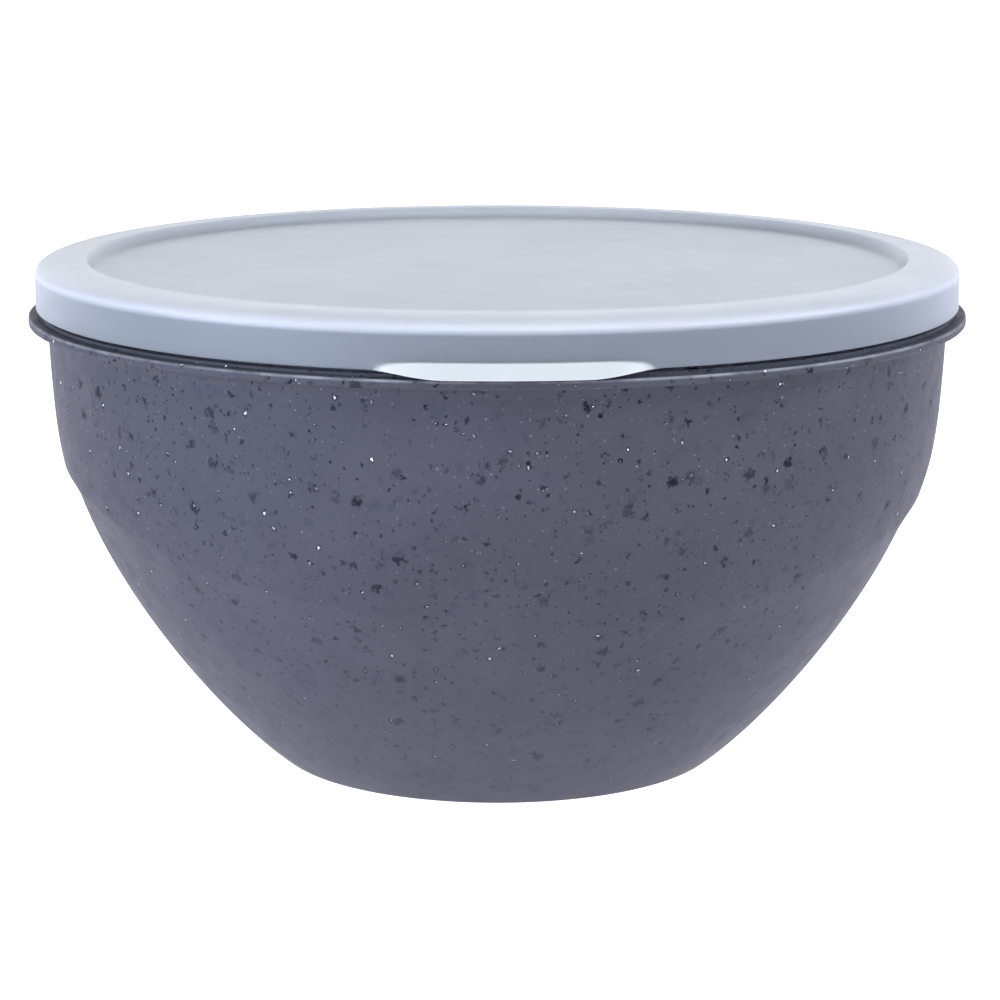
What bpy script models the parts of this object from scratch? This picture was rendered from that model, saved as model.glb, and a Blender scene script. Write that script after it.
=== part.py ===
"""Round kitchen bowl with a press-on lid, in metres, +Z up.

The origin is on the bowl's axis, at the level of the surface that the bowl stands on.
The lid's pull tab points along -Y, and angles are counted from there towards +X.
"""

import math

import bmesh
import bpy

# ---- bowl -------------------------------------------------------------------------------
BOWL_SEGMENTS = 72
WALL = 0.0020

# The foot: a flat ring to stand on, round a shallow hollow.
FOOT_INNER = 0.0500
FOOT_OUTER = 0.0570
HOLLOW_RADIUS = 0.0482
HOLLOW_DEPTH = 0.0015

# The outside of the wall is two curves that meet, each given by its ends and two pulls (r, z).
WALL_LOW = ((0.0575, 0.0003), (0.0734, 0.0123), (0.1012, 0.0462), (0.1098, 0.0762))
WALL_HIGH = ((0.1098, 0.0762), (0.1122, 0.0846), (0.1130, 0.0962), (0.1138, 0.1143))

# The upper band stands proud of the wall below it. Its lower edge is a wave with two lobes:
# low at front and back, high at the sides, and a little higher at the left than at the right.
# Below that edge it fades into the wall, slowly, but quickly right at the sides.
BAND_PROUD = 0.0014
FADE = 0.0180
SIDE_FADE = 0.0046
SIDE_POWER = 10
CREASE_MEAN = 0.0635
CREASE_WAVE = 0.0080
CREASE_LEAN = 0.0031

# Heights of the wall's rows: as shares of the wall below the band, of the height over which
# the band fades, and of the wall above its lower edge.
LOW_SHARES = (0.0, 0.06, 0.15, 0.27, 0.42, 0.58, 0.78, 1.0)
FADE_SHARES = (0.3, 0.6, 0.85, 1.0)
HIGH_SHARES = (0.14, 0.34, 0.6, 1.0)

# The flange that runs round the bowl below the lid, with a low ledge inside the lid's skirt.
FLANGE_RADIUS = 0.1200
FLANGE_BOTTOM = 0.1143
FLANGE_TOP = 0.1165
FLANGE_ROUND = 0.0006
LEDGE_RADIUS = 0.1169
LEDGE_TOP = 0.1173
LEDGE_ROUND = 0.0003

# The collar that rises from the ledge into the lid: a neck, and a thicker rim that the lid
# snaps over.
COLLAR_INNER = 0.1132
NECK_RADIUS = 0.1148
RIM_RADIUS = 0.1163
RIM_BOTTOM = 0.1222
RIM_TOP = 0.1279
RIM_ROUND = 0.0009

# The inside floor, with a fillet up into the wall.
FLOOR = 0.0037
FLOOR_EDGE = 0.0520
FLOOR_CORNER = 0.0583
FILLET_STEPS = 3
FIRST_INSIDE_ROW = 2

# ---- lid --------------------------------------------------------------------------------
LID_STEP = 5.0
TAB_STEP = 1.75
TAB_SPAN = 17.5
SKIN = 0.0012

PANEL_RADIUS = 0.1028
PANEL_TOP = 0.1276
CREST_RADIUS = 0.1055
CREST_TOP = 0.1304
UNDER_SHIFT = 0.0005
RING_STEPS = 5

# The shoulder is a quarter of a superellipse: nearly flat on top, with a tight outer corner.
SHOULDER_POWER = 3.0
SHOULDER_STEPS = 6

SKIRT_RADIUS = 0.1182
SHOULDER_BASE = 0.1262
SKIRT_BOTTOM = 0.1182
FOLD = 0.1206
LID_BEAD_PROUD = 0.0004

# The pull tab: the skirt's lower edge folds out over the flange, and fades back at its ends.
TAB_FULL = 7.6
TAB_END = 17.0
TAB_OUT = 0.0043
TAB_DOWN = 0.0013


def smooth(share):
    """Ease from 0 to 1 with level ends."""
    share = min(max(share, 0.0), 1.0)
    return share * share * (3.0 - 2.0 * share)


def bezier(curve, share):
    """Point at a share of the way along a cubic curve."""
    rest = 1.0 - share
    weights = (rest**3, 3 * rest**2 * share, 3 * rest * share**2, share**3)
    return tuple(sum(w * point[i] for w, point in zip(weights, curve)) for i in range(2))


def curve_radius(curve, height):
    """Radius of a rising curve at a height, found by halving."""
    low, high = 0.0, 1.0
    for _ in range(40):
        middle = (low + high) / 2
        if bezier(curve, middle)[1] < height:
            low = middle
        else:
            high = middle
    return bezier(curve, low)[0]


def band_heights(angle):
    """Heights of the band's lower edge, and of where it has faded into the wall below."""
    side = math.sin(angle) ** SIDE_POWER
    edge = CREASE_MEAN - CREASE_WAVE * math.cos(2 * angle) - CREASE_LEAN * math.sin(angle)
    edge += SIDE_FADE * side
    return edge, edge - FADE - (SIDE_FADE - FADE) * side


def outer_radius(angle, height):
    """Outside of the bowl's wall, with the proud band above the crease."""
    curve = WALL_LOW if height < WALL_LOW[-1][1] else WALL_HIGH
    edge, faded = band_heights(angle)
    share = min(max((height - faded) / (edge - faded), 0.0), 1.0)
    return curve_radius(curve, height) + BAND_PROUD * share**2


def wall_rows(angle):
    """Outside of the wall at one angle, from the foot up to the flange."""
    foot = WALL_LOW[0][1]
    edge, faded = band_heights(angle)
    heights = [foot + share * (faded - foot) for share in LOW_SHARES]
    heights += [faded + share * (edge - faded) for share in FADE_SHARES]
    heights += [edge + share * (FLANGE_BOTTOM - edge) for share in HIGH_SHARES]
    return [(outer_radius(angle, height), height) for height in heights]


def set_in(rows, depth):
    """Rows moved by a wall's thickness, at right angles to the line that they make."""
    moved = []
    for i, (radius, height) in enumerate(rows):
        before = rows[max(i - 1, 0)]
        after = rows[min(i + 1, len(rows) - 1)]
        out, up = after[0] - before[0], after[1] - before[1]
        length = math.hypot(out, up)
        moved.append((radius - depth * up / length, height + depth * out / length))
    return moved


def bowl_profile(angle):
    """Section of the bowl at one angle: underside, outside, rim, inside and floor."""
    outside = wall_rows(angle)
    foot = [(0.0, HOLLOW_DEPTH), (HOLLOW_RADIUS, HOLLOW_DEPTH), (FOOT_INNER, 0.0), (FOOT_OUTER, 0.0)]
    flange = [
        (FLANGE_RADIUS - FLANGE_ROUND, FLANGE_BOTTOM),
        (FLANGE_RADIUS, FLANGE_BOTTOM + FLANGE_ROUND),
        (FLANGE_RADIUS, FLANGE_TOP - FLANGE_ROUND),
        (FLANGE_RADIUS - 0.3 * FLANGE_ROUND, FLANGE_TOP - 0.3 * FLANGE_ROUND),
        (FLANGE_RADIUS - FLANGE_ROUND, FLANGE_TOP),
        (LEDGE_RADIUS, FLANGE_TOP),
        (LEDGE_RADIUS, LEDGE_TOP - LEDGE_ROUND),
        (LEDGE_RADIUS - LEDGE_ROUND, LEDGE_TOP),
    ]
    neck = [(NECK_RADIUS, LEDGE_TOP), (NECK_RADIUS, RIM_BOTTOM), (RIM_RADIUS, RIM_BOTTOM + RIM_ROUND)]
    rim = []
    for centre, start in ((RIM_RADIUS - RIM_ROUND, 0), (COLLAR_INNER + RIM_ROUND, 90)):
        for turn in range(start, start + 91, 30):
            side, up = math.cos(math.radians(turn)), math.sin(math.radians(turn))
            rim.append((centre + RIM_ROUND * side, RIM_TOP - RIM_ROUND + RIM_ROUND * up))
    inside = set_in(outside, WALL)[FIRST_INSIDE_ROW:][::-1]
    corner = ((FLOOR_CORNER, FLOOR), (FLOOR_CORNER, FLOOR))
    fillet_curve = (inside[-1], *corner, (FLOOR_EDGE, FLOOR))
    fillet = [bezier(fillet_curve, step / FILLET_STEPS) for step in range(1, FILLET_STEPS + 1)]
    return foot + outside + flange + neck + rim + inside + fillet + [(0.0, FLOOR)]


def tab_share(angle):
    """How far the pull tab stands out at an angle from the front, from 0 to 1."""
    away = abs(math.degrees(angle))
    return 1.0 - smooth((away - TAB_FULL) / (TAB_END - TAB_FULL))


def shoulder_rows(crest, skirt, top):
    """Shoulder from just outside the crest down to the skirt."""
    rows = []
    for step in range(1, SHOULDER_STEPS + 1):
        turn = math.pi / 2 * step / SHOULDER_STEPS
        out = math.sin(turn) ** (2 / SHOULDER_POWER)
        up = max(math.cos(turn), 0.0) ** (2 / SHOULDER_POWER)
        rows.append((crest + out * (skirt - crest), SHOULDER_BASE + up * (top - SHOULDER_BASE)))
    return rows


def lid_profile(angle):
    """Section of the lid at one angle: panel, ring, shoulder, skirt and the same inside."""
    ring = []
    for step in range(RING_STEPS + 1):
        share = step / RING_STEPS
        radius = PANEL_RADIUS + share * (CREST_RADIUS - PANEL_RADIUS)
        ring.append((radius, PANEL_TOP + smooth(share) * (CREST_TOP - PANEL_TOP)))
    shoulder = shoulder_rows(CREST_RADIUS, SKIRT_RADIUS, CREST_TOP)
    tab = tab_share(angle)
    out, down = TAB_OUT * tab, TAB_DOWN * tab
    skirt = [(SKIRT_RADIUS, FOLD), (SKIRT_RADIUS + out, SKIRT_BOTTOM - down)]
    inner = SKIRT_RADIUS - SKIN
    slant = SKIN * tab / 2
    back = [
        (inner + out - slant, SKIRT_BOTTOM - down),
        (inner - LID_BEAD_PROUD * (1.0 - tab), FOLD - slant),
        (inner, FOLD + SKIN),
        (inner, SHOULDER_BASE),
    ]
    under = shoulder_rows(CREST_RADIUS + UNDER_SHIFT, inner, CREST_TOP - SKIN)[-2::-1]
    under += [(radius + UNDER_SHIFT, height - SKIN) for radius, height in ring[::-1]]
    return [(0.0, PANEL_TOP)] + ring + shoulder + skirt + back + under + [(0.0, PANEL_TOP - SKIN)]


def lid_angles():
    """Angles of the lid's sections, closer together round the pull tab."""
    fine = int(round(2 * TAB_SPAN / TAB_STEP))
    coarse = int(round((360.0 - 2 * TAB_SPAN) / LID_STEP))
    angles = [-TAB_SPAN + TAB_STEP * i for i in range(fine)]
    angles += [TAB_SPAN + LID_STEP * i for i in range(coarse)]
    return [math.radians(angle) for angle in angles]


def turned(name, profile, angles, mat):
    """Solid with a section that may change with the angle, closed on the axis at both ends.

    The section runs from the axis, round the outside of the solid, and back to the axis.
    """
    sections = [profile(angle) for angle in angles]
    mesh = bpy.data.meshes.new(name)
    shape = bmesh.new()
    first = shape.verts.new((0.0, 0.0, sections[0][0][1]))
    last = shape.verts.new((0.0, 0.0, sections[0][-1][1]))
    loops = []
    for angle, section in zip(angles, sections):
        side, front = math.sin(angle), -math.cos(angle)
        loops.append([shape.verts.new((r * side, r * front, z)) for r, z in section[1:-1]])
    for here, there in zip(loops, loops[1:] + loops[:1]):
        shape.faces.new((first, here[0], there[0]))
        shape.faces.new((last, there[-1], here[-1]))
        for i in range(len(here) - 1):
            shape.faces.new((here[i], here[i + 1], there[i + 1], there[i]))
    bmesh.ops.recalc_face_normals(shape, faces=shape.faces)
    shape.to_mesh(mesh)
    shape.free()
    mesh.shade_smooth()
    mesh.set_sharp_from_angle(angle=math.radians(35))
    thing = bpy.data.objects.new(name, mesh)
    thing.data.materials.append(mat)
    bpy.context.collection.objects.link(thing)
    return thing


def material(name, color, roughness, alpha=1.0):
    """Plain plastic of one colour."""
    made = bpy.data.materials.new(name)
    made.use_nodes = True
    shader = made.node_tree.nodes["Principled BSDF"]
    shader.inputs["Base Color"].default_value = (*color, 1.0)
    shader.inputs["Roughness"].default_value = roughness
    shader.inputs["Metallic"].default_value = 0.0
    shader.inputs["Alpha"].default_value = alpha
    made.diffuse_color = (*color, alpha)
    return made


def main():
    for old in list(bpy.data.objects):
        bpy.data.objects.remove(old, do_unlink=True)
    stone_grey = material("stone_grey_plastic", (0.095, 0.098, 0.118), 0.38)
    milky = material("milky_plastic", (0.66, 0.69, 0.75), 0.42, 0.85)
    bowl_angles = [2 * math.pi * i / BOWL_SEGMENTS for i in range(BOWL_SEGMENTS)]
    turned("bowl", bowl_profile, bowl_angles, stone_grey)
    turned("lid", lid_profile, lid_angles(), milky)


main()
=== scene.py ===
import math

import bmesh
import bpy
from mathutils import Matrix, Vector


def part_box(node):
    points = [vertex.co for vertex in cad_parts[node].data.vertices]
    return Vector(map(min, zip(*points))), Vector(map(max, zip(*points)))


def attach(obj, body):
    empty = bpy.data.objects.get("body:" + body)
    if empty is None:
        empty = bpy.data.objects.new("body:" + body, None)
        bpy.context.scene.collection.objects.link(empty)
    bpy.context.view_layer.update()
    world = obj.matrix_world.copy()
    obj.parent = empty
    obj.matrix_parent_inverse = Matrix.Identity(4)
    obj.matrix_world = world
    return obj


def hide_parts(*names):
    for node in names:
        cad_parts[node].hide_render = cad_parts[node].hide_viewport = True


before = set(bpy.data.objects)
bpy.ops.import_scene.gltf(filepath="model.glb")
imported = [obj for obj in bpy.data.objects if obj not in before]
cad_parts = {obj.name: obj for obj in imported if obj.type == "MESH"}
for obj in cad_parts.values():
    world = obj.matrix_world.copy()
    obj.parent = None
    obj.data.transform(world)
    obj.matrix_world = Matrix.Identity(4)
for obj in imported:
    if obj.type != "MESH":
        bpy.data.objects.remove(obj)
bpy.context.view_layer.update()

# A round kitchen bowl of speckled plastic with a milky press-on lid. Metres, +Z up, and the
# lid's pull tab points along -Y. Angles are counted from there towards +X. Steps and spans
# round the axis are in degrees.

BOWL_LOW, BOWL_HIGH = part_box("bowl")
LID_LOW, LID_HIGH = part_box("lid")

# ---- bowl -------------------------------------------------------------------------------
# The bowl's sections are evenly spaced, and the first is this far to the left of the front.
BOWL_STEP = 1.0
BOWL_FIRST = 30.0
WALL = 0.0020

FOOT_INNER = 0.0500
FOOT_OUTER = 0.0570
FOOT_ROUND = 0.0005
HOLLOW_RADIUS = 0.0482
HOLLOW_DEPTH = 0.0015
GATE_RADIUS = 0.0022
GATE_RISE = 0.0004

# The outside of the wall is two curves that meet, each given by its ends and two pulls (r, z).
WALL_LOW = ((0.0575, 0.0003), (0.0734, 0.0123), (0.1012, 0.0462), (0.1098, 0.0762))
WALL_HIGH = ((0.1098, 0.0762), (0.1122, 0.0846), (0.1130, 0.0962), (0.1138, 0.1143))

# The upper band stands proud of the wall below it, and its lower edge is a wave. Below that
# edge it fades into the wall, slowly, but quickly right at the sides.
BAND_PROUD = 0.0014
FADE = 0.0180
SIDE_FADE = 0.0046
SIDE_POWER = 10
CREASE_MEAN = 0.0635
CREASE_WAVE = 0.0080
CREASE_LEAN = 0.0031

# Rows of points up the wall, below the fade, in it and above it. They lie closer together near
# the lower end of a stretch by this power.
ROWS_BELOW = 34
ROWS_FADE = 18
ROWS_ABOVE = 24
ROW_POWER = 1.4

FLANGE_RADIUS = BOWL_HIGH.x
FLANGE_BOTTOM = 0.1143
FLANGE_TOP = 0.1165
FLANGE_ROUND = 0.0006
LEDGE_RADIUS = 0.1169
LEDGE_TOP = 0.1173
LEDGE_ROUND = 0.0003

COLLAR_INNER = 0.1132
NECK_RADIUS = 0.1148
RIM_RADIUS = 0.1163
RIM_BOTTOM = 0.1222
RIM_TOP = BOWL_HIGH.z
RIM_ROUND = 0.0009

# The inside floor, and the fillet that takes the place of the wall's lowest rows inside.
FLOOR = 0.0037
FLOOR_EDGE = 0.0520
FLOOR_CORNER = 0.0583
FLOOR_STEPS = 10
FIRST_INSIDE_ROW = 9

# ---- lid --------------------------------------------------------------------------------
LID_STEP = 1.0
TAB_STEP = 0.35
TAB_SPAN = 17.5
SKIN = 0.0012

PANEL_RADIUS = 0.1028
PANEL_TOP = 0.1276
CREST_RADIUS = 0.1055
CREST_TOP = LID_HIGH.z
UNDER_SHIFT = 0.0005
RING_STEPS = 16

# The shoulder is a quarter of a superellipse: nearly flat on top, with a tight outer corner.
SHOULDER_POWER = 3.0
SHOULDER_STEPS = 24

SKIRT_RADIUS = LID_HIGH.x
SHOULDER_BASE = 0.1262
SKIRT_BOTTOM = 0.1182
FOLD = 0.1206
LID_BEAD_PROUD = 0.0004
LID_BEAD_HALF = 0.0006
EDGE_ROUND = 0.0004

# The tab stands out fully up to one angle from the front and is gone at the other.
TAB_FULL = 7.6
TAB_END = 17.0
TAB_OUT = -LID_LOW.y - SKIRT_RADIUS
TAB_DOWN = SKIRT_BOTTOM - LID_LOW.z

# ---- sections ---------------------------------------------------------------------------
# Halvings that find a height on a curve, steps in a rounded corner, and the share of a side's
# length that a rounding may take up.
HALVINGS = 24
CORNER_STEPS = 5
LONGEST_REACH = 0.45


def smooth(share):
    """Ease from 0 to 1 with level ends."""
    share = min(max(share, 0.0), 1.0)
    return share * share * (3.0 - 2.0 * share)


def bezier(curve, share):
    """Point at a share of the way along a cubic curve."""
    rest = 1.0 - share
    weights = (rest**3, 3 * rest**2 * share, 3 * rest * share**2, share**3)
    return tuple(sum(w * point[i] for w, point in zip(weights, curve)) for i in range(2))


def curve_radius(curve, height):
    """Radius of a rising curve at a height, found by halving."""
    low, high = 0.0, 1.0
    for _ in range(HALVINGS):
        middle = (low + high) / 2
        if bezier(curve, middle)[1] < height:
            low = middle
        else:
            high = middle
    return bezier(curve, low)[0]


def filleted(corners):
    """Line through corners (radius, height, rounding), each rounded off by its rounding."""
    line = [corners[0][:2]]
    for before, here, after in zip(corners, corners[1:], corners[2:]):
        if here[2] == 0.0:
            line.append(here[:2])
            continue
        point, arms = Vector(here[:2]), []
        for other in (before, after):
            arm = Vector(other[:2]) - point
            reach = min(here[2], LONGEST_REACH * arm.length)
            arms.append(point + arm.normalized() * reach)
        for step in range(CORNER_STEPS + 1):
            share = step / CORNER_STEPS
            a, b = arms[0].lerp(point, share), point.lerp(arms[1], share)
            line.append(tuple(a.lerp(b, share)))
    line.append(corners[-1][:2])
    return line


def band_heights(angle):
    """Heights of the band's lower edge, and of where it has faded into the wall below."""
    side = math.sin(angle) ** SIDE_POWER
    edge = CREASE_MEAN - CREASE_WAVE * math.cos(2 * angle) - CREASE_LEAN * math.sin(angle)
    edge += SIDE_FADE * side
    return edge, edge - FADE - (SIDE_FADE - FADE) * side


def outer_radius(angle, height):
    """Outside of the bowl's wall, with the proud band above the crease."""
    curve = WALL_LOW if height < WALL_LOW[-1][1] else WALL_HIGH
    edge, faded = band_heights(angle)
    share = min(max((height - faded) / (edge - faded), 0.0), 1.0)
    return curve_radius(curve, height) + BAND_PROUD * share**2


def wall_rows(angle):
    """Outside of the wall at one angle, from the foot up to the flange."""
    foot = WALL_LOW[0][1]
    edge, faded = band_heights(angle)
    heights = [foot + (faded - foot) * (i / ROWS_BELOW) ** ROW_POWER for i in range(ROWS_BELOW)]
    heights += [faded + (edge - faded) * i / ROWS_FADE for i in range(ROWS_FADE)]
    above = FLANGE_BOTTOM - edge
    heights += [edge + above * (i / ROWS_ABOVE) ** ROW_POWER for i in range(ROWS_ABOVE + 1)]
    return [(outer_radius(angle, height), height) for height in heights]


def set_in(rows, depth):
    """Rows moved by a wall's thickness, at right angles to the line that they make."""
    moved = []
    for i, (radius, height) in enumerate(rows):
        before = rows[max(i - 1, 0)]
        after = rows[min(i + 1, len(rows) - 1)]
        out, up = after[0] - before[0], after[1] - before[1]
        length = math.hypot(out, up)
        moved.append((radius - depth * up / length, height + depth * out / length))
    return moved


def bowl_section(angle):
    """Section of the bowl at one angle: underside, outside, rim, inside and floor."""
    outside = wall_rows(angle)
    inside = set_in(outside, WALL)[FIRST_INSIDE_ROW:][::-1]
    under = filleted(
        [
            (0.0, HOLLOW_DEPTH - GATE_RISE, 0.0),
            (GATE_RADIUS, HOLLOW_DEPTH - GATE_RISE, GATE_RISE / 2),
            (GATE_RADIUS + GATE_RISE, HOLLOW_DEPTH, GATE_RISE / 2),
            (HOLLOW_RADIUS, HOLLOW_DEPTH, FOOT_ROUND),
            (FOOT_INNER, 0.0, FOOT_ROUND),
            (FOOT_OUTER, 0.0, FOOT_ROUND),
            (*outside[0], 0.0),
        ]
    )
    upper = filleted(
        [
            (*outside[-1], 0.0),
            (FLANGE_RADIUS, FLANGE_BOTTOM, FLANGE_ROUND),
            (FLANGE_RADIUS, FLANGE_TOP, FLANGE_ROUND),
            (LEDGE_RADIUS, FLANGE_TOP, LEDGE_ROUND),
            (LEDGE_RADIUS, LEDGE_TOP, LEDGE_ROUND),
            (NECK_RADIUS, LEDGE_TOP, LEDGE_ROUND),
            (NECK_RADIUS, RIM_BOTTOM, LEDGE_ROUND),
            (RIM_RADIUS, RIM_BOTTOM + RIM_ROUND, LEDGE_ROUND),
            (RIM_RADIUS, RIM_TOP, RIM_ROUND),
            (COLLAR_INNER, RIM_TOP, RIM_ROUND),
            (*inside[0], 0.0),
        ]
    )
    corner = (FLOOR_CORNER, FLOOR)
    bend = (inside[-1], corner, corner, (FLOOR_EDGE, FLOOR))
    fillet = [bezier(bend, step / FLOOR_STEPS) for step in range(1, FLOOR_STEPS + 1)]
    return under + outside[1:-1] + upper + inside[1:] + fillet + [(0.0, FLOOR)]


def tab_share(angle):
    """How far the pull tab stands out at an angle from the front, from 0 to 1."""
    away = abs(math.degrees(angle))
    return 1.0 - smooth((away - TAB_FULL) / (TAB_END - TAB_FULL))


def shoulder_rows(crest, skirt, top):
    """Shoulder from just outside the crest down to the skirt."""
    rows = []
    for step in range(1, SHOULDER_STEPS + 1):
        turn = math.pi / 2 * step / SHOULDER_STEPS
        out = math.sin(turn) ** (2 / SHOULDER_POWER)
        up = max(math.cos(turn), 0.0) ** (2 / SHOULDER_POWER)
        rows.append((crest + out * (skirt - crest), SHOULDER_BASE + up * (top - SHOULDER_BASE)))
    return rows


def lid_section(angle):
    """Section of the lid at one angle: panel, ring, shoulder, skirt and the same inside."""
    ring = []
    for step in range(RING_STEPS + 1):
        share = step / RING_STEPS
        radius = PANEL_RADIUS + share * (CREST_RADIUS - PANEL_RADIUS)
        ring.append((radius, PANEL_TOP + smooth(share) * (CREST_TOP - PANEL_TOP)))
    shoulder = shoulder_rows(CREST_RADIUS, SKIRT_RADIUS, CREST_TOP)
    tab = tab_share(angle)
    out, down = TAB_OUT * tab, TAB_DOWN * tab
    inner = SKIRT_RADIUS - SKIN
    slant = SKIN * tab / 2
    bead = LID_BEAD_PROUD * (1.0 - tab)
    skirt = filleted(
        [
            (*shoulder[-1], 0.0),
            (SKIRT_RADIUS, FOLD, EDGE_ROUND),
            (SKIRT_RADIUS + out, SKIRT_BOTTOM - down, EDGE_ROUND),
            (inner + out - slant, SKIRT_BOTTOM - down, EDGE_ROUND),
            (inner - bead, FOLD - slant - LID_BEAD_HALF, EDGE_ROUND),
            (inner - bead, FOLD - slant + LID_BEAD_HALF, EDGE_ROUND),
            (inner, FOLD + SKIN, EDGE_ROUND),
            (inner, SHOULDER_BASE, 0.0),
        ]
    )
    under = shoulder_rows(CREST_RADIUS + UNDER_SHIFT, inner, CREST_TOP - SKIN)[-2::-1]
    under += [(radius + UNDER_SHIFT, height - SKIN) for radius, height in ring[::-1]]
    top = [(0.0, PANEL_TOP)] + ring + shoulder[:-1]
    return top + skirt + under + [(0.0, PANEL_TOP - SKIN)]


def angles_with(step, fine_step, span):
    """Angles right round, closer together within a span on either side of the front."""
    fine = round(2 * span / fine_step)
    coarse = round((360.0 - 2 * span) / step)
    found = [-span + 2 * span * i / fine for i in range(fine)]
    found += [span + (360.0 - 2 * span) * i / coarse for i in range(coarse)]
    return [math.radians(angle) for angle in found]


def turned(name, section_at, angles):
    """Closed solid whose section may change with the angle, with one point at each pole."""
    sections = [section_at(angle) for angle in angles]
    shape = bmesh.new()
    first = shape.verts.new((0.0, 0.0, sections[0][0][1]))
    last = shape.verts.new((0.0, 0.0, sections[0][-1][1]))
    loops = []
    for angle, section in zip(angles, sections):
        side, front = math.sin(angle), -math.cos(angle)
        loops.append([shape.verts.new((r * side, r * front, z)) for r, z in section[1:-1]])
    for here, there in zip(loops, loops[1:] + loops[:1]):
        shape.faces.new((first, here[0], there[0]))
        shape.faces.new((last, there[-1], here[-1]))
        for i in range(len(here) - 1):
            shape.faces.new((here[i], here[i + 1], there[i + 1], there[i]))
    bmesh.ops.recalc_face_normals(shape, faces=shape.faces)
    mesh = bpy.data.meshes.new(name)
    shape.to_mesh(mesh)
    shape.free()
    mesh.shade_smooth()
    piece = bpy.data.objects.new(name, mesh)
    bpy.context.scene.collection.objects.link(piece)
    return piece


# ---- materials --------------------------------------------------------------------------
class Shader:
    """A node material on a Principled BSDF, built up one node at a time."""

    def __init__(self, name):
        self.material = bpy.data.materials.new(name)
        self.material.use_nodes = True
        self.tree = self.material.node_tree
        self.surface = self.tree.nodes["Principled BSDF"]
        self.place = self.tree.nodes.new("ShaderNodeTexCoord").outputs["Object"]

    def add(self, kind, inputs=None, **settings):
        """New node with some inputs set to a value or linked to another node's output."""
        made = self.tree.nodes.new("ShaderNode" + kind)
        for key, value in settings.items():
            setattr(made, key, value)
        for key, value in (inputs or {}).items():
            self.put(made.inputs[key], value)
        return made

    def put(self, socket, value):
        """Link an input to another node's output, or set it to a value."""
        if isinstance(value, bpy.types.NodeSocket):
            self.tree.links.new(value, socket)
        else:
            socket.default_value = value

    def noise(self, scale, detail=2.0, roughness=0.5, output="Fac"):
        """Noise from 0 to 1 whose features are 1 / scale metres apart, or "Color", three of it."""
        inputs = {"Vector": self.place, "Scale": scale, "Detail": detail, "Roughness": roughness}
        return self.add("TexNoise", inputs).outputs[output]

    def patches(self, scale, low, high, bottom=0.0, top=1.0, **settings):
        """Noise taken from the range low to high into the range bottom to top."""
        return self.ramp(self.noise(scale, **settings), low, high, bottom, top)

    def flakes(self, scale, share, size, soft, wobble):
        """Ragged flakes in a share of the cells, which are 1 / scale metres across.

        Size and softness are in cell widths, and noise moves the outlines by up to wobble
        metres. Gives the flakes and a random number for each, both from 0 to 1.
        """
        place = self.add("VectorMath", operation="MULTIPLY_ADD")
        self.put(place.inputs[0], self.noise(WOBBLE_SCALE, detail=3.0, output="Color"))
        self.put(place.inputs[1], (wobble, wobble, wobble))
        self.put(place.inputs[2], self.place)
        cell = self.add("TexVoronoi", {"Vector": place.outputs["Vector"], "Scale": scale})
        chance = self.add("SeparateColor", {"Color": cell.outputs["Color"]}).outputs
        radius = self.ramp(chance["Red"], 1.0 - share, 1.0, 0.0, size)
        inside = self.math("SUBTRACT", radius, cell.outputs["Distance"])
        return self.ramp(inside, 0.0, soft), chance["Green"]

    def height(self):
        """Height above the floor in metres, at rest."""
        return self.add("SeparateXYZ", {"Vector": self.place}).outputs["Z"]

    def radius(self):
        """Distance from the axis in metres."""
        level = self.add("VectorMath", {"Vector": self.place}, operation="MULTIPLY")
        self.put(level.inputs[1], (1.0, 1.0, 0.0))
        length = self.add("VectorMath", {"Vector": level.outputs["Vector"]}, operation="LENGTH")
        return length.outputs["Value"]

    def ramp(self, value, low, high, bottom=0.0, top=1.0):
        """Value taken from the range low to high into the range bottom to top."""
        made = self.add(
            "MapRange",
            {"Value": value, "From Min": low, "From Max": high, "To Min": bottom, "To Max": top},
        )
        return made.outputs["Result"]

    def math(self, operation, a, b):
        """Two values multiplied, subtracted or whatever else the operation says."""
        made = self.add("Math", operation=operation)
        self.put(made.inputs[0], a)
        self.put(made.inputs[1], b)
        return made.outputs[0]

    def mix(self, share, a, b):
        """Colour a, turning to colour b as share goes from 0 to 1."""
        made = self.add("Mix", {"Factor": share}, data_type="RGBA")
        self.put(made.inputs["A"], a)
        self.put(made.inputs["B"], b)
        return made.outputs["Result"]

    def bump(self, height, distance, strength, normal=None):
        """Normal for a height from 0 to 1 that stands for distance metres."""
        made = self.add("Bump", {"Height": height, "Distance": distance, "Strength": strength})
        if normal is not None:
            self.put(made.inputs["Normal"], normal)
        return made.outputs["Normal"]

    def finish(self, **values):
        """Surface values, with spaces in their names written as underscores."""
        for key, value in values.items():
            self.put(self.surface.inputs[key.replace("_", " ")], value)
        return self.material


# Noise scales are in features for each metre, and colours are linear.
GREY = (0.0615, 0.0615, 0.0775, 1.0)
GREY_DEEP = (0.0545, 0.0545, 0.0690, 1.0)
GREY_SCALE = 38.0
FLAKE_BLACK = (0.002, 0.003, 0.010, 1.0)
FLAKE_GREY = (0.036, 0.037, 0.056, 1.0)
# White of the flakes, also used for the painted highlight along the flange's upper edge.
FLAKE_AND_HIGHLIGHT_WHITE = (0.80, 0.82, 0.88, 1.0)

# Flakes: cells for each metre, share of the cells with a flake, size and soft edge in cell
# widths, and how far their outlines wander in metres.
DARK_FLAKES = (
    (210.0, 0.75, 0.42, 0.20, 0.0045),
    (430.0, 0.60, 0.42, 0.22, 0.0030),
    (950.0, 0.28, 0.46, 0.24, 0.0014),
)
WHITE_FLAKES = (480.0, 0.45, 0.21, 0.06, 0.0018)
PALE_FLAKES = (1000.0, 0.35, 0.34, 0.15, 0.0010)
WOBBLE_SCALE = 800.0

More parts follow.
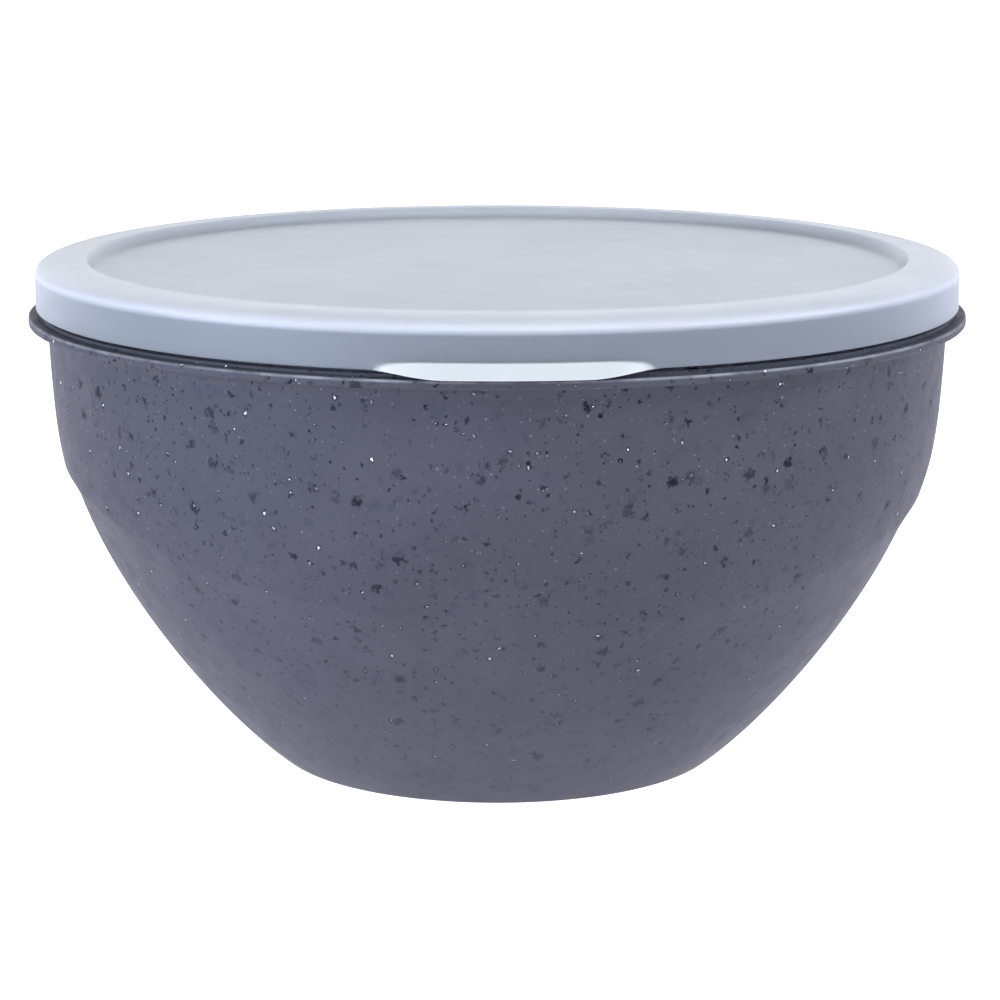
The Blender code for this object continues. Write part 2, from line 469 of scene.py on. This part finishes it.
# How strong a flake is, by its random number: from one number to another, from what to what.
# A white flake has a dark rim, this many times as large as the flake.
DARK_STRENGTH = (0.0, 0.7, 0.3, 1.0)
WHITE_STRENGTH = (0.35, 1.0, 0.05, 1.0)
PALE_STRENGTH = (0.0, 1.0, 0.02, 0.14)
RIM_STRENGTH = (0.2, 0.8, 0.0, 0.9)
RIM_SIZE = 1.9

# Blurred darker patches, like flakes that lie deeper, and how strong they are at most.
SUNK_SCALE = 260.0
SUNK_MOST = 0.45

# The flakes are fainter low down: their strength at the foot, and the height where it is full.
FOOT_STRENGTH = 0.3
FULL_HEIGHT = 0.10

# The flange's upper edge is made pale, a painted highlight: where that starts and where it is
# full, below the flange's top and in from its edge, and how strong it is at least and at most.
HIGHLIGHT_SCALE = 120.0
HIGHLIGHT_BELOW = (0.0008, 0.0003)
HIGHLIGHT_INWARD = (0.0006, 0.0002)
HIGHLIGHT_STRENGTH = (0.05, 0.24)

GRAIN_SCALE = 2600.0
GRAIN_DEPTH = 0.000012
FLAKE_RISE = 0.00005
SATIN_SCALE = 160.0
SATIN = (0.47, 0.57)


def flaked(s, color):
    """Colour with black, pale and white flakes over it, and the white flakes alone."""
    plenty = s.ramp(s.height(), 0.0, FULL_HEIGHT, FOOT_STRENGTH, 1.0)
    fewer = s.math("MULTIPLY", plenty, plenty)

    dark = []
    for sizes in DARK_FLAKES:
        flakes, chance = s.flakes(*sizes)
        dark.append(s.math("MULTIPLY", flakes, s.ramp(chance, *DARK_STRENGTH)))
    scale, share, size, soft, wobble = WHITE_FLAKES
    rims, chance = s.flakes(scale, share, RIM_SIZE * size, soft, wobble)
    dark.append(s.math("MULTIPLY", rims, s.ramp(chance, *RIM_STRENGTH)))
    for flakes in dark:
        color = s.mix(s.math("MULTIPLY", flakes, plenty), color, FLAKE_BLACK)

    pale, chance = s.flakes(*PALE_FLAKES)
    pale = s.math("MULTIPLY", pale, s.ramp(chance, *PALE_STRENGTH))
    color = s.mix(s.math("MULTIPLY", pale, fewer), color, FLAKE_AND_HIGHLIGHT_WHITE)
    white, chance = s.flakes(*WHITE_FLAKES)
    white = s.math("MULTIPLY", white, s.ramp(chance, *WHITE_STRENGTH))
    white = s.math("MULTIPLY", white, fewer)
    return s.mix(white, color, FLAKE_AND_HIGHLIGHT_WHITE), white


def flange_edge_highlight(s, color):
    """Colour with a painted highlight: made paler along the flange's upper edge."""
    below, full_below = HIGHLIGHT_BELOW
    inward, full_inward = HIGHLIGHT_INWARD
    top = s.ramp(s.height(), FLANGE_TOP - below, FLANGE_TOP - full_below)
    edge = s.ramp(s.radius(), FLANGE_RADIUS - inward, FLANGE_RADIUS - full_inward)
    strength = s.patches(HIGHLIGHT_SCALE, 0.35, 0.65, *HIGHLIGHT_STRENGTH, detail=4.0)
    share = s.math("MULTIPLY", s.math("MULTIPLY", edge, top), strength)
    return s.mix(share, color, FLAKE_AND_HIGHLIGHT_WHITE)


def stone_plastic():
    """Grey plastic full of black and white flakes, moulded with a satin surface."""
    s = Shader("stone_grey_plastic")
    color = s.mix(s.patches(GREY_SCALE, 0.35, 0.65, detail=3.0), GREY_DEEP, GREY)
    sunk = s.patches(SUNK_SCALE, 0.58, 0.72, roughness=0.6)
    color = s.mix(s.math("MULTIPLY", sunk, SUNK_MOST), color, FLAKE_GREY)
    color, white = flaked(s, color)
    normal = s.bump(s.noise(GRAIN_SCALE), GRAIN_DEPTH, strength=0.5)
    return s.finish(
        # The base colour carries a painted highlight along the flange's upper edge.
        Base_Color=flange_edge_highlight(s, color),
        Roughness=s.patches(SATIN_SCALE, 0.3, 0.7, *SATIN, detail=4.0),
        Normal=s.bump(white, FLAKE_RISE, strength=0.5, normal=normal),
        IOR=1.5,
        Specular_IOR_Level=0.12,
    )


MILK = (0.80, 0.815, 0.85, 1.0)
MILK_CLEAR = (0.75, 0.775, 0.815, 1.0)
# The skirt's colour is a darker, bluer copy of the milk: painted shade.
SHADED_SKIRT_MILK = (0.67, 0.72, 0.77, 1.0)
# The tab's colour is a darker copy of the milk: painted shade.
SHADED_TAB_MILK = (0.535, 0.555, 0.535, 1.0)
MILK_SCALE = 22.0

# How much light each part of the lid lets through, and how wide the change is between two. The
# tab keeps only a share of the skirt's clearness and colour.
PANEL_CLEAR = 0.54
RING_CLEAR = 0.70
CREST_CLEAR = 0.48
SKIRT_CLEAR = 0.84
PANEL_BLEND = 0.0004
CREST_BLEND = 0.0008
SHOULDER_BLEND = 0.0016
TAB_BLEND = (0.0002, 0.0006)
TAB_KEEPS = 0.1

RIPPLE_SCALE = 400.0
RIPPLE_DEPTH = 0.00001
SHEEN_SCALE = 60.0
SHEEN = (0.32, 0.37)


def milky_plastic():
    """Smooth milky plastic that lets light and dark shapes behind it show through; its skirt and
    its tab have darker copies of its colour, painted shade.
    """
    s = Shader("milky_plastic")
    height, radius = s.height(), s.radius()
    shoulder = (SHOULDER_BASE, SHOULDER_BASE + SHOULDER_BLEND)
    crest = s.ramp(radius, CREST_RADIUS - CREST_BLEND, CREST_RADIUS, RING_CLEAR, CREST_CLEAR)
    panel = (PANEL_RADIUS - PANEL_BLEND, PANEL_RADIUS + PANEL_BLEND)
    top = s.ramp(radius, *panel, PANEL_CLEAR, crest)
    clear = s.ramp(height, *shoulder, SKIRT_CLEAR, top)
    tab = (SKIRT_RADIUS + TAB_BLEND[0], SKIRT_RADIUS + TAB_BLEND[1])
    off_tab = s.ramp(radius, *tab, 1.0, TAB_KEEPS)

    color = s.mix(s.patches(MILK_SCALE, 0.3, 0.7, detail=3.0), MILK_CLEAR, MILK)
    # Below the shoulder the colour turns to the skirt's darker copy of the milk: painted shade.
    color = s.mix(s.ramp(height, *shoulder, 1.0, 0.0), color, SHADED_SKIRT_MILK)
    return s.finish(
        # The tab takes its darker copy of the milk colour, painted shade.
        Base_Color=s.mix(off_tab, SHADED_TAB_MILK, color),
        Roughness=s.patches(SHEEN_SCALE, 0.3, 0.7, *SHEEN),
        Normal=s.bump(s.noise(RIPPLE_SCALE), RIPPLE_DEPTH, strength=0.2),
        IOR=1.3,
        Transmission_Weight=s.math("MULTIPLY", clear, off_tab),
    )


# ---- stage ------------------------------------------------------------------------------
ROOM_COLOR = (0.92, 0.93, 1.0, 1.0)
ROOM_GLOW = 0.25
WALL_GLOW = 1.1

# The bright wall starts and is full at these parts of a unit vector backwards and upwards.
WALL_BACK = (0.0, 0.5)
WALL_UP = (0.4, 0.1)

GROUND_REACH = 30.0
GROUND_SCALE = 3.0
GROUND_DARK = (0.155, 0.155, 0.158, 1.0)
GROUND_LIGHT = (0.165, 0.165, 0.168, 1.0)
GROUND_GLOW = (0.9, 0.9, 1.0, 1.0)

LIGHTS_AWAY = 1.4
LIGHTS_AIM = Vector((0.0, 0.0, 0.07))

# The camera's distance and height are in flange radii, its turn is in degrees and its tilt in
# radians.
CAMERA_AWAY = 7.0
CAMERA_UP = 1.963
CAMERA_TURN = -2.0
CAMERA_TILT = 0.200
CAMERA_LENS = 118.0
CAMERA_SHIFT = 0.0028


def floor():
    """Plain pale floor that reaches past the view on every side."""
    signs = ((-1, -1), (1, -1), (1, 1), (-1, 1))
    corners = [(x * GROUND_REACH, y * GROUND_REACH, 0.0) for x, y in signs]
    mesh = bpy.data.meshes.new("floor")
    mesh.from_pydata(corners, [], [(0, 1, 2, 3)])
    made = bpy.data.objects.new("floor", mesh)
    bpy.context.scene.collection.objects.link(made)
    s = Shader("pale_floor")
    material = s.finish(
        Base_Color=s.mix(s.noise(GROUND_SCALE), GROUND_DARK, GROUND_LIGHT),
        Roughness=0.6,
        Emission_Color=GROUND_GLOW,
        Emission_Strength=1.5,
    )
    mesh.materials.append(material)


def softbox(name, azimuth, elevation, width, height, strength, color):
    """Soft rectangular light aimed at the bowl, from an angle round it and one above it."""
    around, up = math.radians(azimuth), math.radians(elevation)
    level = math.cos(up)
    way = Vector((level * math.sin(around), -level * math.cos(around), math.sin(up)))
    place = LIGHTS_AIM + LIGHTS_AWAY * way
    data = bpy.data.lights.new(name, "AREA")
    data.shape = "RECTANGLE"
    data.size, data.size_y = width, height
    data.energy = strength * math.pi * LIGHTS_AWAY**2
    data.color = color
    made = bpy.data.objects.new(name, data)
    made.location = place
    made.rotation_euler = (LIGHTS_AIM - place).to_track_quat("-Z", "Y").to_euler()
    bpy.context.scene.collection.objects.link(made)


def surroundings():
    """Dim room with a bright wall behind the bowl that fades upwards and to the sides."""
    world = bpy.data.worlds.new("studio")
    world.use_nodes = True
    tree = world.node_tree
    direction = tree.nodes.new("ShaderNodeTexCoord").outputs["Generated"]
    parts = tree.nodes.new("ShaderNodeSeparateXYZ")
    tree.links.new(direction, parts.inputs["Vector"])
    wall = tree.nodes.new("ShaderNodeMath")
    wall.operation = "MULTIPLY"
    for i, (axis, start, end) in enumerate((("Y", *WALL_BACK), ("Z", *WALL_UP))):
        fade = tree.nodes.new("ShaderNodeMapRange")
        fade.interpolation_type = "SMOOTHSTEP"
        fade.inputs["From Min"].default_value = start
        fade.inputs["From Max"].default_value = end
        tree.links.new(parts.outputs[axis], fade.inputs["Value"])
        tree.links.new(fade.outputs["Result"], wall.inputs[i])
    strength = tree.nodes.new("ShaderNodeMapRange")
    strength.inputs["To Min"].default_value = ROOM_GLOW
    strength.inputs["To Max"].default_value = WALL_GLOW
    tree.links.new(wall.outputs["Value"], strength.inputs["Value"])
    background = tree.nodes["Background"]
    background.inputs["Color"].default_value = ROOM_COLOR
    tree.links.new(strength.outputs["Result"], background.inputs["Strength"])
    bpy.context.scene.world = world


def lights():
    """Softboxes high in front, behind and at both sides: warm in front, bluish at the sides."""
    softbox("front", 0.0, 60.0, 1.2, 0.8, 1.4, (1.0, 0.98, 0.86))
    softbox("back", 180.0, 25.0, 1.6, 0.6, 0.5, (1.0, 1.0, 1.0))
    softbox("left", -57.0, 9.0, 1.2, 0.7, 3.9, (0.68, 0.78, 1.0))
    softbox("right", 68.0, 28.0, 1.2, 0.7, 3.0, (0.71, 0.80, 1.0))


def camera():
    """Camera in front of the pull tab, a little above the rim, looking slightly down."""
    data = bpy.data.cameras.new("camera")
    data.sensor_width = 36.0
    data.lens = CAMERA_LENS
    data.shift_x = CAMERA_SHIFT
    data.clip_start, data.clip_end = 0.05, 60.0
    made = bpy.data.objects.new("camera", data)
    turn = math.radians(CAMERA_TURN)
    level, height = CAMERA_AWAY * FLANGE_RADIUS, CAMERA_UP * FLANGE_RADIUS
    made.location = (level * math.sin(turn), -level * math.cos(turn), height)
    made.rotation_euler = (math.pi / 2 - CAMERA_TILT, 0.0, turn)
    bpy.context.scene.collection.objects.link(made)
    bpy.context.scene.camera = made


def make(name, section_at, angles, material):
    """One turned piece in place of the CAD node of that name, riding on its body."""
    piece = turned(name + "_shell", section_at, angles)
    piece.data.materials.append(material)
    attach(piece, name)
    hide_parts(name)


bowl_angles = angles_with(BOWL_STEP, BOWL_STEP, BOWL_FIRST)
make("bowl", bowl_section, bowl_angles, stone_plastic())
lid_angles = angles_with(LID_STEP, TAB_STEP, TAB_SPAN)
make("lid", lid_section, lid_angles, milky_plastic())
floor()
surroundings()
lights()
camera()

bpy.context.scene.view_settings.view_transform = "Standard"
bpy.context.scene.view_settings.look = "None"
